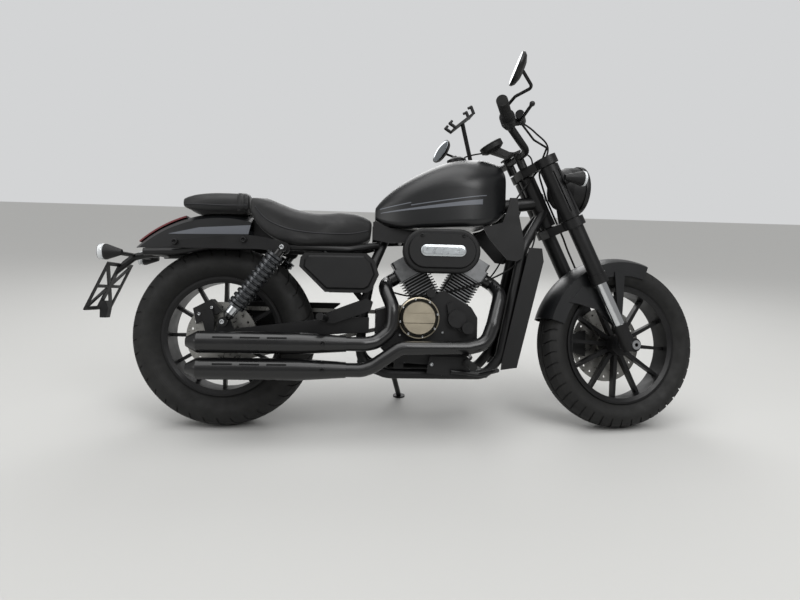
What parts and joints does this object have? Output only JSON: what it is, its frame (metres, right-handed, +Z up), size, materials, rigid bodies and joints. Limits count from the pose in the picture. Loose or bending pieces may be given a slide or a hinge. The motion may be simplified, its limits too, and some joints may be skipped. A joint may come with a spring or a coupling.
{
  "type": "cruiser motorcycle",
  "caption": "Low cruiser motorcycle with a liquid-cooled V-twin engine, twin rear shocks and stacked silencers, leaning on its side stand.",
  "frame": {"origin": "on the floor under the middle of the parked motorcycle's bounding box", "axes": "+X forward, +Y to the rider's left, +Z up"},
  "size_m": [2.1357, 0.8492, 1.2252],
  "materials": {
    "tyre_rubber": "matte",
    "rim_black": "gloss",
    "steel": "satin",
    "frame_black": "satin",
    "chrome": "polished",
    "rubber": "matte",
    "plastic": "matte",
    "paint": "satin",
    "engine_black": "satin",
    "engine_cover": "satin",
    "cleaner_black": "gloss",
    "exhaust_black": "matte",
    "lamp": "gloss",
    "red_lens": "gloss",
    "seat_cover": "matte",
    "shock": "gloss",
    "radiator": "matte"
  },
  "bodies": {
    "chassis": {"rear_caliper": "engine_black", "frame": "frame_black", "swingarm": "frame_black", "rear_axle": "steel", "shocks": "shock", "engine_case": "engine_black", "rear_cylinder": "engine_black", "front_cylinder": "engine_black", "clutch_cover": "engine_cover", "generator_cover": "engine_black", "air_cleaner": "cleaner_black", "throttle_body": "engine_black", "headers": "exhaust_black", "upper_silencer": "exhaust_black", "lower_silencer": "exhaust_black", "fuel_tank": "paint", "filler_cap": "cleaner_black", "rider_seat": "seat_cover", "passenger_seat": "seat_cover", "rear_fender": "paint", "tail_lamp": "red_lens", "fender_struts": "frame_black", "side_covers": "plastic", "plate_holder": "plastic", "tail_bracket": "frame_black", "rear_signals": "plastic", "radiator": "radiator", "radiator_shroud": "plastic", "frame_covers": "plastic", "peg_plates": "frame_black", "rider_pegs": "rubber", "foot_levers": "steel", "passenger_pegs": "frame_black", "chain": "steel"},
    "fork": {"fork_tubes": "frame_black", "stanchions": "chrome", "axle_clamps": "frame_black", "fork_clamps": "frame_black", "front_axle": "steel", "handlebar": "frame_black", "grips": "rubber", "switch_housings": "plastic", "levers": "frame_black", "mirrors": "frame_black", "risers": "frame_black", "headlamp": "lamp", "meter": "plastic", "front_signals": "plastic", "front_fender": "paint", "front_caliper": "engine_black", "phone_holder": "plastic", "brake_lines": "rubber"},
    "front_wheel": {"front_tyre": "tyre_rubber", "front_rim": "rim_black", "front_disc": "steel"},
    "rear_wheel": {"rear_tyre": "tyre_rubber", "rear_rim": "rim_black", "rear_disc": "steel", "rear_sprocket": "steel"},
    "stand": {"stand_leg": "frame_black"}
  },
  "joints": [
    {"name": "steering", "type": "hinge", "parent": "chassis", "child": "fork", "pos_m": [0.47663, -0.0278, 0.78182], "axis": [-0.4375, 0.1407, 0.8881], "range_deg": [-48, 28]},
    {"name": "front_wheel_spin", "type": "hinge", "parent": "fork", "child": "front_wheel", "pos_m": [0.77125, -0.09625, 0.29397], "axis": [-0.1561, 0.9608, -0.2291], "continuous": true},
    {"name": "rear_wheel_spin", "type": "hinge", "parent": "chassis", "child": "rear_wheel", "pos_m": [-0.62805, -0.1028, 0.30832], "axis": [0, 0.9877, -0.1564], "continuous": true},
    {"name": "stand_fold", "type": "hinge", "parent": "chassis", "child": "stand", "pos_m": [-0.04814, 0.01042, 0.19214], "axis": [0.1817, 0.7441, 0.6429], "range_deg": [0, 98.58]}
  ]
}
